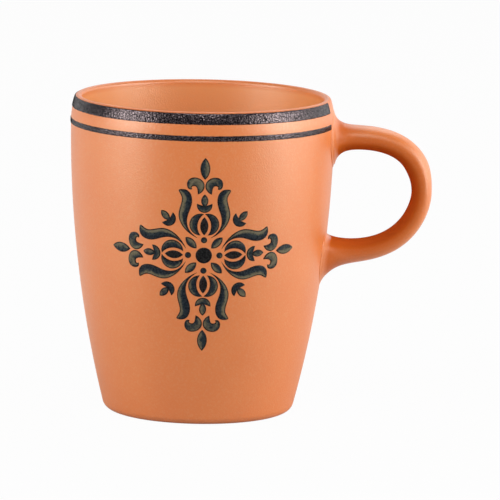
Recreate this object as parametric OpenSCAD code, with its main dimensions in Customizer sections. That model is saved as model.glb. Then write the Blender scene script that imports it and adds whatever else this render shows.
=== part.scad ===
// Tall tapered coffee mug with a loop handle, two enamel bands under the lip
// and a fourfold enamel medallion on the front. All lengths are millimetres.
// The origin is the centre of the foot on the table, +Z is up, the handle
// points along +X and the medallion faces -Y.

/* [Body] */
// Radius of the body at its widest point
rim_r = 42.5; // [36:0.5:50]
// Height of the cup from the table to the lip
body_h = 102.4; // [90:0.2:120]
// Height of the widest point, where the lip starts to turn in
shoulder_h = 94.2; // [82:0.2:100]
// Radius of the long arc that the wall follows from shoulder to foot
wall_arc_r = 372; // [330:1:460]
// Thickness of the wall
wall_t = 3.4; // [2.6:0.1:4.4]
// How far the top of the lip lies inside the widest point, as a share of the wall
lip_inset_share = 0.67; // [0.6:0.01:0.75]
// Height of the inner floor above the table
floor_h = 5.4; // [4.6:0.1:8]
// Rounding where the inner wall meets the floor
floor_corner_r = 9; // [6:0.5:14]

/* [Foot] */
// Rounding of the outer edge of the foot
foot_corner_r = 3.2; // [2:0.1:4.5]
// Width of the flat ring that the cup stands on
foot_ring_w = 3.4; // [2.5:0.1:5]
// Depth of the hollow inside the foot ring
foot_hollow_h = 1.6; // [1:0.1:2]
// Rounding of the hollow's upper corner
foot_hollow_r = 1.2; // [0.5:0.1:1.5]

/* [Handle] */
// How far the handle stands out past the widest point of the body
handle_reach = 32; // [28:0.1:38]
// Height at which the handle stands out farthest
grip_h = 71.8; // [68:0.2:76]
// Height of the centre line of the handle in the upper joint
top_joint_h = 88.4; // [85:0.2:90]
// Height of the centre line of the handle in the lower joint
low_joint_h = 53.8; // [48:0.2:58]
// How deep the centre line starts inside the widest point
joint_depth = 5; // [4:0.5:7]
// Thickness of the handle in its upper bend
handle_top_t = 7.6; // [6.5:0.1:9]
// Thickness of the handle where it stands out farthest
handle_grip_t = 6.5; // [5.5:0.1:8]
// Thickness of the handle in its lower bend
handle_low_t = 7; // [6:0.1:9]
// Width of the handle across the loop
handle_w = 12.6; // [10:0.2:16]
// How far the smoothed clay of the upper joint spreads above the handle
top_flare = 4.6; // [2:0.1:5]
// Distance from the wall over which the upper joint narrows
top_flare_run = 2; // [1.5:0.1:3]
// How far the smoothed clay of the lower joint runs down below the handle
low_flare = 7.9; // [4:0.1:9]
// Distance from the wall over which the lower joint narrows
low_flare_run = 3.6; // [2:0.1:4.5]

/* [Bands] */
// Distance of the wide band's upper edge below the lip
rim_band_drop = 0.35; // [0.2:0.05:0.6]
// Height of the wide band
rim_band_h = 3.5; // [2:0.1:4.5]
// Distance of the narrow band's upper edge below the lip
lower_band_drop = 7.3; // [6:0.1:9]
// Height of the narrow band
lower_band_h = 1.8; // [1:0.1:3]
// Angle left bare round the handle between the ends of a band
band_gap = 31; // [26:1:50]

/* [Enamel] */
// Thickness of the enamel on the wall
enamel_t = 0.2; // [0.15:0.05:0.3]

/* [Medallion] */
// Bare wall between the medallion and the narrow band
medallion_clear = 5; // [2.5:0.1:9]
// Distance from the middle to the point of each tip leaf
medallion_reach = 31.6; // [28:0.1:33]
// Radius of the round centre
centre_r = 2.6; // [1.8:0.1:2.8]
// Radius of a bead
bead_r = 1; // [0.6:0.1:1.2]
// Distance of a bead from the middle
bead_at = 5; // [4.8:0.1:5.2]
// Length of a centre leaf
centre_leaf_l = 5; // [3.5:0.1:5.2]
// Width of a centre leaf
centre_leaf_w = 2.5; // [1.5:0.1:2.6]
// Distance of a centre leaf from the middle
centre_leaf_at = 5.8; // [5.7:0.1:6]
// Length of a seed in the heart of a tulip
seed_l = 5.9; // [4.5:0.1:6.1]
// Width of a seed
seed_w = 2.6; // [1.8:0.1:2.9]
// Distance of a seed from the middle
seed_at = 9.55; // [9.45:0.05:9.7]
// Bare gap between a seed and the inner petals
seed_gap = 0.85; // [0.6:0.05:1]
// Radius of the outer edge of an inner petal
inner_petal_r = 3.55; // [3.3:0.05:3.6]
// Distance of that edge's middle from the middle line of the arm
inner_petal_x = 1.2; // [1:0.05:1.25]
// Distance of that edge's middle from the middle of the medallion
inner_petal_at = 10.1; // [10:0.05:10.2]
// Length of an outer petal
outer_petal_l = 15.8; // [14.5:0.1:16]
// Width over the bend of an outer petal
outer_petal_w = 6.5; // [5.8:0.1:6.6]
// Distance of an outer petal's root from the middle line of the arm
outer_petal_x = 1.95; // [1.9:0.05:2.2]
// Distance of an outer petal's root from the middle
outer_petal_at = 5.6; // [5.5:0.1:5.8]
// Radius of a bud's bowl
bud_r = 2.5; // [2:0.05:2.6]
// Distance of the middle of a bud's bowl from the middle of the medallion
bud_at = 16.4; // [16.3:0.1:16.6]
// Length of the leaf that stands in a bud
bud_leaf_l = 4.2; // [3.4:0.1:4.3]
// Width of the leaf that stands in a bud
bud_leaf_w = 2.3; // [1.6:0.1:2.4]
// Height of a hook
hook_h = 5.5; // [4.6:0.1:5.7]
// Width of a hook
hook_w = 5.7; // [4.8:0.1:5.8]
// Distance of a hook from the middle line of the arm
hook_x = 0.12; // [0.1:0.01:0.3]
// Distance of a hook's lower point from the middle
hook_at = 19.8; // [19.7:0.1:20]
// Length of a tip leaf
tip_leaf_l = 7; // [5.5:0.1:7.1]
// Width of a tip leaf
tip_leaf_w = 3.2; // [2.4:0.1:3.6]

/* [Hidden] */
$fn = 180;

// One overrun serves every cut
overrun = 2;
// Arcs that touch are grown by this much, so that they cross cleanly
blend = 0.004;

// Colours as fired
clay = "#d4794a";
enamel = "#33353d";

// Centre of the wall's long arc, in the half outline's own x and z
wall_c = [rim_r - wall_arc_r, shoulder_h];
inner_arc_r = wall_arc_r - wall_t;

// The lip's round nose touches the inner wall arc, and the lip arc joins the
// shoulder to the nose. Both radii follow from the inset and the wall.
lip_h = body_h - shoulder_h;
lip_inset = lip_inset_share * wall_t;
nose_r = (pow(wall_arc_r - lip_inset, 2) + lip_h * lip_h - inner_arc_r * inner_arc_r)
    / (2 * (inner_arc_r + lip_h));
lip_arc_r = (lip_inset * lip_inset + pow(lip_h - nose_r, 2) - nose_r * nose_r)
    / (2 * (lip_inset - nose_r));
nose_c = [rim_r - lip_inset, body_h - nose_r];
lip_c = [rim_r - lip_arc_r, shoulder_h];
nose_turn = atan2(nose_c[1] - lip_c[1], nose_c[0] - lip_c[0]);

// Radius of the body below the shoulder at a height
function wall_r(z) = wall_c[0] + sqrt(wall_arc_r * wall_arc_r - pow(z - shoulder_h, 2));

// Middle of a rounded corner between an arc of the wall and a level floor
function corner_c(arc_r, floor_z, r) = [
    wall_c[0] + sqrt(pow(arc_r - r, 2) - pow(shoulder_h - floor_z - r, 2)),
    floor_z + r
];

// Half outline of a round wall that stands on a level floor with a rounded
// corner. It is filled from the axis outwards.
module standing_half(arc_r, floor_z, top_z, r) {
    c = corner_c(arc_r, floor_z, r);
    tilt = atan2(shoulder_h - c[1], c[0] - wall_c[0]);
    touch_z = c[1] - r * sin(tilt);
    intersection() {
        union() {
            intersection() {
                translate(wall_c) circle(r = arc_r, $fn = 720);
                translate([0, touch_z]) square([rim_r + overrun, top_z - touch_z]);
            }
            translate(c) circle(r = r + blend);
            translate([0, floor_z]) square([c[0], r]);
        }
        translate([0, floor_z]) square([rim_r + overrun, top_z - floor_z]);
    }
}

// Half outline of the filled cup under the round nose of the lip, grown
// outwards by a skin
module under_nose_half(skin = 0) {
    standing_half(wall_arc_r + skin, -skin, shoulder_h, foot_corner_r + skin);
    touch = nose_c + (nose_r + skin) * [cos(nose_turn), sin(nose_turn)];
    intersection() {
        translate(lip_c) circle(r = lip_arc_r + skin);
        polygon([[0, shoulder_h - overrun], [rim_r + overrun, shoulder_h - overrun],
            [rim_r + overrun, nose_c[1]], touch, nose_c, [0, nose_c[1]]]);
    }
}

module nose_disc(skin = 0) {
    translate(nose_c) circle(r = nose_r + blend + skin);
}

// Half outline of the shallow hollow that leaves the foot ring
module foot_hollow_half() {
    r = corner_c(wall_arc_r, 0, foot_corner_r)[0] - foot_ring_w;
    intersection() {
        union() {
            translate([0, -overrun]) square([r, overrun + foot_hollow_h - foot_hollow_r]);
            square([r - foot_hollow_r, foot_hollow_h]);
            translate([r - foot_hollow_r, foot_hollow_h - foot_hollow_r])
                circle(r = foot_hollow_r + blend);
        }
        translate([0, -overrun]) square([r, overrun + foot_hollow_h]);
    }
}

module cup_body() {
    color(clay) rotate_extrude() {
        difference() {
            under_nose_half();
            standing_half(inner_arc_r, floor_h, body_h, floor_corner_r);
            foot_hollow_half();
        }
        nose_disc();
    }
}

module filled_cup() {
    rotate_extrude() under_nose_half();
}

// Handle: its centre line is two Bezier curves in the XZ plane, from the
// upper joint to the farthest point and on to the lower joint. Their control
// points are shares of the box that each curve spans.
joint_x = rim_r - joint_depth;
grip_x = rim_r + handle_reach - handle_grip_t / 2;
top_curve_shares = [[0, 0], [0.68, -0.23], [1, 0.15], [1, 1]];
low_curve_shares = [[1, 0], [1, 0.3], [0.84, 1.33], [0, 1]];
span_x = grip_x - joint_x;
top_curve = [for (s = top_curve_shares)
    [joint_x + s[0] * span_x, top_joint_h - s[1] * (top_joint_h - grip_h)]];
low_curve = [for (s = low_curve_shares)
    [joint_x + s[0] * span_x, grip_h - s[1] * (grip_h - low_joint_h)]];

// Spread of a joint away from the loop, towards the loop and sideways, as
// shares of its flare
top_flare_shares = [1, 0.89, 0.74];
low_flare_shares = [1, 0.04, 0.46];

// Where along each curve the thickness starts to change and how long it takes
top_change_shares = [0.75, 0.25];
low_change_shares = [0.1, 0.79];

// Rings from a joint to the farthest point, closer together at the joint
half_rings = 30;
ring_points = 24;
ring_bias = 1.5;
section_power = 2.3;

function bezier(p, t) = pow(1 - t, 3) * p[0] + 3 * t * pow(1 - t, 2) * p[1]
    + 3 * t * t * (1 - t) * p[2] + pow(t, 3) * p[3];
function bezier_way(p, t) = let (
    d = pow(1 - t, 2) * (p[1] - p[0]) + 2 * t * (1 - t) * (p[2] - p[1]) + t * t * (p[3] - p[2])
) d / norm(d);

// Smooth step from 0 to 1, and a rounded-square wave for the section
function ease(x) = let (t = min(max(x, 0), 1)) t * t * (3 - 2 * t);
function swell(x) = sign(x) * pow(abs(x), 2 / section_power);

// One ring of the handle at a point of the centre line. It spreads as it
// nears the wall.
function handle_ring(at, way, half_t, flare, run) = [
    for (k = [0 : ring_points - 1]) let (
        turn = 360 * k / ring_points,
        out = [-way[1], way[0]],
        rise = half_t * swell(cos(turn)),
        across = handle_w / 2 * swell(sin(turn)),
        spot = at + rise * out,
        gap = max(norm([spot[0], across]) - wall_r(spot[1]), 0),
        spread = pow(sin(turn), 2) * flare[2] + pow(cos(turn), 2) * (cos(turn) > 0 ? flare[0] : flare[1]),
        grow = spread * exp(-gap / run),
        edge = spot + grow * cos(turn) * out
    ) [edge[0], across + grow * sin(turn), edge[1]]
];

// Thickness between two values, at a share of a curve
function mixed(from, to, change, t) = from + (to - from) * ease((t - change[0]) / change[1]);

top_rings = [for (i = [0 : half_rings]) let (t = pow(i / half_rings, ring_bias))
    handle_ring(bezier(top_curve, t), bezier_way(top_curve, t),
        mixed(handle_top_t, handle_grip_t, top_change_shares, t) / 2,
        top_flare * top_flare_shares, top_flare_run)];
low_rings = [for (i = [half_rings - 1 : -1 : 0]) let (t = 1 - pow(i / half_rings, ring_bias))
    handle_ring(bezier(low_curve, t), bezier_way(low_curve, t),
        mixed(handle_grip_t, handle_low_t, low_change_shares, t) / 2,
        low_flare * low_flare_shares, low_flare_run)];

// A closed tube through rings of equal length
module tube(rings) {
    n = len(rings[0]);
    last = len(rings) - 1;
    function next(k) = (k + 1) % n;
    walls = [for (i = [0 : last - 1], k = [0 : n - 1], half = [0, 1]) half == 0
        ? [i * n + k, (i + 1) * n + k, (i + 1) * n + next(k)]
        : [i * n + k, (i + 1) * n + next(k), i * n + next(k)]];
    caps = [for (k = [1 : n - 2], end = [0, 1]) end == 0
        ? [0, k, k + 1] : [last * n, last * n + k + 1, last * n + k]];
    polyhedron(points = [for (ring = rings, p = ring) p], faces = concat(walls, caps));
}

module handle() {
    color(clay) difference() {
        tube(concat(top_rings, low_rings));
        filled_cup();
    }
}

// Enamel skin on the outer wall between two heights
module skin_half(low, high) {
    intersection() {
        difference() {
            union() {
                under_nose_half(enamel_t);
                nose_disc(enamel_t);
            }
            under_nose_half();
            nose_disc();
            translate([0, shoulder_h]) square([nose_c[0], lip_h + overrun]);
        }
        translate([0, low]) square([rim_r + overrun, high - low]);
    }
}

// A band that leaves a gap round the handle
module band(drop, h) {
    top = body_h - drop;
    color(enamel) rotate([0, 0, band_gap / 2])
        rotate_extrude(angle = 360 - band_gap) skin_half(top - h, top);
}

module rim_band() {
    band(rim_band_drop, rim_band_h);
}

module lower_band() {
    band(lower_band_drop, lower_band_h);
}

// The medallion is drawn flat and wrapped on the wall as a sheet is wrapped
// on a cone: straight lines of the sheet stay shortest ways on the wall.
medallion_h = body_h - lower_band_drop - lower_band_h - medallion_clear - medallion_reach;
medallion_r = wall_r(medallion_h);
wall_lean = atan((shoulder_h - medallion_h) / (medallion_r - wall_c[0]));
cone_l = medallion_r / sin(wall_lean);

// Turn in the sheet, angle round the cup and height of a point of the sheet
function sheet_turn(p) = atan2(p[0], cone_l + p[1]);
function cup_turn(p) = sheet_turn(p) * cone_l / medallion_r;
function sheet_height(p) = medallion_h + (norm([p[0], cone_l + p[1]]) - cone_l) * cos(wall_lean);
function turned(p, a) = [p[0] * cos(a) - p[1] * sin(a), p[0] * sin(a) + p[1] * cos(a)];

// Stands a flat figure out of the wall at a point of the sheet
module laid(p, turn) {
    rotate([0, 0, cup_turn(p)])
        translate([0, overrun - wall_r(sheet_height(p)), sheet_height(p)])
            rotate([90, 0, 0])
                rotate([0, 0, turn + sheet_turn(p)])
                    linear_extrude(height = 2 * overrun) children();
}

// Cuts figures that stand out of the wall down to the enamel skin
module as_enamel() {
    color(enamel) intersection() {
        rotate([0, 0, -90 - medallion_span / 2])
            rotate_extrude(angle = medallion_span)
                skin_half(medallion_h - medallion_reach - overrun, shoulder_h);
        union() children();
    }
}

medallion_span = 2 * (cup_turn([medallion_reach, 0]) + atan(overrun / medallion_r));

// Repeats a figure round the sheet, at its distance up the arm
arm_count = 4;
module each_arm(at, count = arm_count, start = 0) {
    for (k = [0 : count - 1]) {
        a = start + k * 360 / count;
        laid(turned([0, at], a), a) children();
    }
}

// Repeats a figure on both sides of each arm, at a place beside its line
module each_side(x, at) {
    for (k = [0 : arm_count - 1], side = [-1, 1]) {
        a = k * 360 / arm_count;
        laid(turned([side * x, at], a), a) mirror([side < 0 ? 0 : 1, 0]) children();
    }
}

// A pointed leaf between two equal arcs
module almond(l, w) {
    r = (l * l + w * w) / (4 * w);
    intersection() {
        translate([r - w / 2, 0]) circle(r = r);
        translate([w / 2 - r, 0]) circle(r = r);
    }
}

// A closed outline of Bezier curves whose points are shares of a box. Every
// third point lies on the outline.
curve_steps = 6;
module curved(shares, w, l, origin_share) {
    n = (len(shares) - 1) / 3;
    box = [for (s = shares) [-(s[0] - origin_share[0]) * w, (s[1] - origin_share[1]) * l]];
    polygon([for (i = [0 : n - 1], j = [0 : curve_steps - 1])
        bezier([for (m = [0 : 3]) box[3 * i + m]], j / curve_steps)]);
}

module medallion_centre() {
    as_enamel() laid([0, 0], 0) circle(r = centre_r);
}

module medallion_beads() {
    as_enamel() each_arm(bead_at) circle(r = bead_r);
}

module centre_leaves() {
    as_enamel() each_arm(centre_leaf_at, start = 180 / arm_count) almond(centre_leaf_l, centre_leaf_w);
}

module tulip_seeds() {
    as_enamel() each_arm(seed_at) almond(seed_l, seed_w);
}

// A crescent that hugs the seed: its inner edge is the seed's own arc, moved
// out by the bare gap
module inner_petals() {
    seed_r = (seed_l * seed_l + seed_w * seed_w) / (4 * seed_w);
    as_enamel() each_side(inner_petal_x, inner_petal_at) difference() {
        circle(r = inner_petal_r);
        translate([inner_petal_x + seed_r - seed_w / 2, seed_at - inner_petal_at])
            circle(r = seed_r + seed_gap);
    }
}

// The curled outer petal of a tulip, from its pointed root round the curl
outer_petal_shares = [[0, 0], [0.4, 0.06], [0.9, 0.23], [0.97, 0.44], [1.01, 0.57], [0.82, 0.7],
    [0.83, 0.8], [0.83, 0.87], [0.97, 0.92], [1, 0.965], [1.01, 0.995], [0.89, 1], [0.77, 1],
    [0.5, 1], [0.32, 0.905], [0.32, 0.765], [0.32, 0.615], [0.55, 0.505], [0.55, 0.355],
    [0.55, 0.19], [0.34, 0.1], [0, 0]];
outer_petal_mid_share = [0.6, 0.5];
module outer_petals() {
    as_enamel() each_side(outer_petal_x + outer_petal_mid_share[0] * outer_petal_w,
            outer_petal_at + outer_petal_mid_share[1] * outer_petal_l)
        curved(outer_petal_shares, outer_petal_w, outer_petal_l, outer_petal_mid_share);
}

// A bowl cut by a shallow V, with a leaf standing in it. The V's points are
// shares of the bowl's radius.
bud_v_shares = [[0, -0.16], [1.1, 0.22], [1.1, 1.1], [-1.1, 1.1], [-1.1, 0.22]];
bud_leaf_rise_share = 0.32;
module bud() {
    difference() {
        circle(r = bud_r);
        polygon(bud_r * bud_v_shares);
    }
    translate([0, bud_leaf_rise_share * bud_leaf_l]) almond(bud_leaf_l, bud_leaf_w);
}

module buds() {
    as_enamel() each_arm(bud_at, count = 2 * arm_count) bud();
}

// A comma-shaped hook, from its lower point up the side next to its twin
hook_shares = [[0.37, 0], [0.18, 0.06], [0.01, 0.26], [0, 0.48], [-0.01, 0.77], [0.24, 1],
    [0.57, 1], [0.84, 1], [1, 0.82], [1, 0.59], [1, 0.44], [0.94, 0.32], [0.85, 0.29],
    [0.78, 0.27], [0.73, 0.28], [0.69, 0.32], [0.78, 0.41], [0.7, 0.49], [0.57, 0.49],
    [0.4, 0.48], [0.4, 0.23], [0.37, 0]];
hook_mid_share = [0.5, 0.5];
module hooks() {
    as_enamel() each_side(hook_x + hook_mid_share[0] * hook_w, hook_at + hook_mid_share[1] * hook_h)
        curved(hook_shares, hook_w, hook_h, hook_mid_share);
}

module tip_leaves() {
    as_enamel() each_arm(medallion_reach - tip_leaf_l / 2) almond(tip_leaf_l, tip_leaf_w);
}

cup_body();
handle();
rim_band();
lower_band();
medallion_centre();
medallion_beads();
centre_leaves();
tulip_seeds();
inner_petals();
outer_petals();
buds();
hooks();
tip_leaves();
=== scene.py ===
"""Looks for a tall terracotta coffee cup: the clay body and handle, the two
enamel bands, the painted medallion, and the studio they stand in."""

import math
import random

import bpy
import numpy as np
from bpy.props import FloatProperty, FloatVectorProperty, PointerProperty
from bpy.types import Operator, Panel, PropertyGroup
from mathutils import Matrix, Vector, noise
from mathutils.geometry import delaunay_2d_cdt


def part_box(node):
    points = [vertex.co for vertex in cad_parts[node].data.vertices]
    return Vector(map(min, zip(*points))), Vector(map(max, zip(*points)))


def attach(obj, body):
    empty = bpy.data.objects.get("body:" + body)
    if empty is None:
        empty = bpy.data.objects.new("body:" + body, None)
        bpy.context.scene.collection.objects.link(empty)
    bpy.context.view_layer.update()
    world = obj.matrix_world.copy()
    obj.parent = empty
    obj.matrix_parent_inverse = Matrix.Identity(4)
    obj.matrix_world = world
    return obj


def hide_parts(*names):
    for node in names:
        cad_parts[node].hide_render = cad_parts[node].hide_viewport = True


bl_info = {
    "name": "Terracotta Cup",
    "version": (1, 0, 0),
    "blender": (4, 5, 0),
    "location": "3D View > Sidebar > Cup",
    "description": "Builds the clay, the enamel bands, the painted medallion and the studio of a coffee cup",
    "category": "Object",
}

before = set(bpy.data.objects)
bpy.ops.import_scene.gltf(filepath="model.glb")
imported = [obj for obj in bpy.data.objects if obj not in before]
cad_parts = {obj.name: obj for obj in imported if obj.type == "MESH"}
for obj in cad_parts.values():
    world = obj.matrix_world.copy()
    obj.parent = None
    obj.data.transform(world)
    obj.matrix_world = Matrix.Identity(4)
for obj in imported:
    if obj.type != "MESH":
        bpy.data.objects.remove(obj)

MM = 0.001
_, BODY_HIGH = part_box("cup_body")
BAND_LOW, BAND_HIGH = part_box("rim_band")
NARROW_LOW, NARROW_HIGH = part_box("lower_band")


def srgb(code):
    """A hex colour as the linear red, green and blue that shaders and lamps take."""
    parts = [int(code[i : i + 2], 16) / 255 for i in (1, 3, 5)]
    return tuple(p / 12.92 if p <= 0.04045 else ((p + 0.055) / 1.055) ** 2.4 for p in parts)


def length(name, about, default):
    """A length setting, given in millimetres."""
    return FloatProperty(
        name=name, description=about, default=default * MM, unit="LENGTH", precision=5, min=0)


def share(name, about, default):
    return FloatProperty(name=name, description=about, default=default, min=0, subtype="FACTOR")


def angle(name, about, degrees):
    return FloatProperty(name=name, description=about, default=math.radians(degrees), subtype="ANGLE")


def watts(name, power):
    return FloatProperty(name=name, description="Power in watts", default=power)


def colour(name, about, code):
    return FloatVectorProperty(
        name=name, description=about, default=srgb(code), subtype="COLOR", size=3, min=0, max=1)


class CupBodySizes(PropertyGroup):
    rim_radius: length("Rim radius", "Radius at the widest point", BODY_HIGH.y / MM)
    height: length("Height", "Height from the table to the lip", BODY_HIGH.z / MM)
    shoulder: length("Shoulder", "Height of the widest point", 94.2)
    wall_curve: length("Wall curve", "Radius of the long arc of the wall", 372)
    wall: length("Wall", "Thickness of the wall", 3.4)
    lip_inset: share("Lip inset", "How far the top of the lip lies in, as a share of the wall", 0.67)
    floor: length("Floor", "Height of the inner floor", 5.4)
    floor_round: length("Floor rounding", "Rounding where the wall meets the floor", 9)
    foot_round: length("Foot rounding", "Rounding of the outer edge of the foot", 3.2)
    foot_ring: length("Foot ring", "Width of the ring that the cup stands on", 3.4)
    hollow: length("Foot hollow", "Depth of the hollow inside the foot ring", 1.6)
    hollow_round: length("Hollow rounding", "Rounding of the upper corner of the hollow", 1.2)
    sponged: length("Sponged edge", "Rounding that a wet sponge leaves on the ring's inner edge", 0.4)


class CupHandleSizes(PropertyGroup):
    reach: length("Reach", "How far the handle stands out past the widest point", 32)
    grip: length("Grip height", "Height at which it stands out farthest", 71.8)
    top_joint: length("Upper joint", "Height of the centre line in the upper joint", 88.4)
    low_joint: length("Lower joint", "Height of the centre line in the lower joint", 53.8)
    joint_depth: length("Joint depth", "How deep the centre line starts inside the widest point", 5)
    top_thick: length("Upper thickness", "Thickness in the upper bend", 7.6)
    grip_thick: length("Grip thickness", "Thickness where it stands out farthest", 6.5)
    low_thick: length("Lower thickness", "Thickness in the lower bend", 7)
    width: length("Width", "Width across the loop", 12.6)
    top_flare: length("Upper flare", "How far the clay of the upper joint spreads", 4.6)
    top_run: length("Upper run", "Distance over which the upper joint narrows", 2)
    low_flare: length("Lower flare", "How far the clay of the lower joint spreads", 7.9)
    low_run: length("Lower run", "Distance over which the lower joint narrows", 3.6)
    fillet: length("Slip fillet", "Fillet of wiped slip where the handle meets the wall", 1.3)
    squareness: FloatProperty(
        name="Squareness", description="Roundness of the section: 2 is an ellipse", default=2.3, min=2, max=6)


class CupBandSizes(PropertyGroup):
    gap: angle("Gap", "Angle left bare round the handle", 31)
    thick: length("Thickness", "Thickness of the enamel between its grains", 0.155)
    edge: length("Edge", "Width over which the enamel rounds down to the clay", 0.22)
    grain: length("Grain", "Size of a grain of the enamel", 0.42)
    grain_height: length("Grain height", "How far a grain stands out", 0.045)
    waver: length("Waver", "How far the brushed edge wanders", 0.13)


class CupMedallionSizes(PropertyGroup):
    clear: length("Clearance", "Bare wall between the medallion and the narrow band", 5)
    reach: length("Reach", "Distance from the middle to the point of each tip leaf", 31.6)
    thick: length("Thickness", "Thickness of the painted enamel", 0.17)
    edge: length("Edge", "Width over which the enamel rounds down to the clay", 0.3)
    spacing: length("Mesh spacing", "Distance between points of the painted shapes", 0.24)
    centre_r: length("Centre", "Radius of the round centre", 2.6)
    bead_r: length("Bead", "Radius of a bead", 1)
    bead_at: length("Bead place", "Distance of a bead from the middle", 5)
    centre_leaf_l: length("Centre leaf", "Length of a centre leaf", 5)
    centre_leaf_w: length("Centre leaf width", "Width of a centre leaf", 2.5)
    centre_leaf_at: length("Centre leaf place", "Distance of a centre leaf from the middle", 5.8)
    seed_l: length("Seed", "Length of a seed", 5.9)
    seed_w: length("Seed width", "Width of a seed", 2.6)
    seed_at: length("Seed place", "Distance of a seed from the middle", 9.55)
    seed_gap: length("Seed gap", "Bare gap between a seed and the inner petals", 0.85)
    inner_petal_r: length("Inner petal", "Radius of the outer edge of an inner petal", 3.55)
    inner_petal_x: length("Inner petal offset", "Distance of that edge's middle from the arm's line", 1.2)
    inner_petal_at: length("Inner petal place", "Distance of that edge's middle from the middle", 10.1)
    outer_petal_l: length("Outer petal", "Length of an outer petal", 15.8)
    outer_petal_w: length("Outer petal width", "Width over the bend of an outer petal", 6.5)
    outer_petal_x: length("Outer petal offset", "Distance of its root from the arm's line", 1.95)
    outer_petal_at: length("Outer petal place", "Distance of its root from the middle", 5.6)
    bud_r: length("Bud", "Radius of a bud's bowl", 2.5)
    bud_at: length("Bud place", "Distance of a bud's bowl from the middle", 16.4)
    bud_leaf_l: length("Bud leaf", "Length of the leaf in a bud", 4.2)
    bud_leaf_w: length("Bud leaf width", "Width of the leaf in a bud", 2.3)
    hook_h: length("Hook", "Height of a hook", 5.5)
    hook_w: length("Hook width", "Width of a hook", 5.7)
    hook_x: length("Hook offset", "Distance of a hook from the arm's line", 0.12)
    hook_at: length("Hook place", "Distance of a hook's lower point from the middle", 19.8)
    tip_leaf_l: length("Tip leaf", "Length of a tip leaf", 7)
    tip_leaf_w: length("Tip leaf width", "Width of a tip leaf", 3.2)


class CupFinish(PropertyGroup):
    clay: colour("Clay", "Terracotta under its satin glaze", "#F28231")
    clay_deep: colour("Deep clay", "Darker clouds in the clay", "#EE7A29")
    # painted light: a lighter copy of the clay that makes the inside of the cup show brighter than its lamps
    # light it
    inside_clay_painted_light: colour("Inside clay", "Clay under the thicker glaze poured into the cup", "#F8A259")
    # also painted shade: this darker clay stands for the shade on the handle's inner side and at its joints,
    # besides the thinner glaze at the lip
    thin_glaze_and_painted_shade: colour("Thinly glazed clay", "Clay at the lip and on the wiped handle", "#C25A20")
    clay_dust: colour("Clay dust", "Pale specks in the clay", "#F0A878")
    clay_sheen: colour("Clay sheen", "Cream tint that the glaze gives to the light it throws back", "#FFFCEC")
    band: colour("Band enamel", "Dull ground between the enamel grains", "#09070B")
    band_grain: colour("Band grain", "Glassy grains of the band enamel", "#1F1A22")
    band_sheen: colour("Band sheen", "Tint of the light the bands' grains throw back", "#EFD8DA")
    outline: colour("Outline", "Dark line round each painted shape", "#0A090C")
    paint_dark: colour("Dark paint", "Inner side of a petal", "#121C26")
    paint_mid: colour("Middle paint", "Between the two sides of a petal", "#222D32")
    paint_light: colour("Light paint", "Outer side of a petal", "#726A53")
    seed_paint: colour("Seed paint", "Brown-black of the seeds", "#1D1416")
    clay_rough: share("Clay roughness", "Roughness of the satin glaze", 0.4)
    clay_gloss: share("Clay gloss", "Strength of the satin glaze's reflection, 0.5 is plain glass", 0.92)
    lip_thin: share("Thin lip", "How much of the glaze runs off the lip", 0.35)
    lip_run: length("Lip run", "Height over which the glaze runs thin at the lip", 2.5)
    band_rough: share("Band roughness", "Roughness of the band enamel", 0.2)
    band_gloss: share("Band gloss", "Strength of a grain's reflection", 1.15)
    paint_rough: share("Paint roughness", "Roughness of the painted enamel", 0.36)
    paint_gloss: share("Paint gloss", "Strength of a grain's reflection in the paint", 0.55)


class CupStudio(PropertyGroup):
    azimuth: angle("Azimuth", "Side from which the camera looks", -2)
    elevation: angle("Elevation", "Height angle of the camera", 9.17)
    roll: angle("Roll", "Tilt of the picture", 1.09)
    distance: FloatProperty(name="Distance", description="Camera to cup", default=1.8, unit="LENGTH")
    lens: FloatProperty(name="Lens", description="Focal length in millimetres", default=400.2)
    aside: length("Aside", "How far the camera looks past the cup's axis", 16.03)
    look_height: length("Look height", "Height that the camera looks at", 52.2)
    right_power: watts("Right softbox", 9.3)
    left_power: watts("Left softbox", 6.7)
    high_power: watts("High softbox", 3.0)
    edge_power: watts("Right edge softbox", 1.7)
    rear_power: watts("Rear softbox", 2.5)
    table_white: share("Table white", "How much of the table shows as plain white", 0.97)
    board: colour("Board", "Matt white board of the table", "#BCBCBA")
    sky: share("Sky", "Strength of the room's own light", 0.14)


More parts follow.
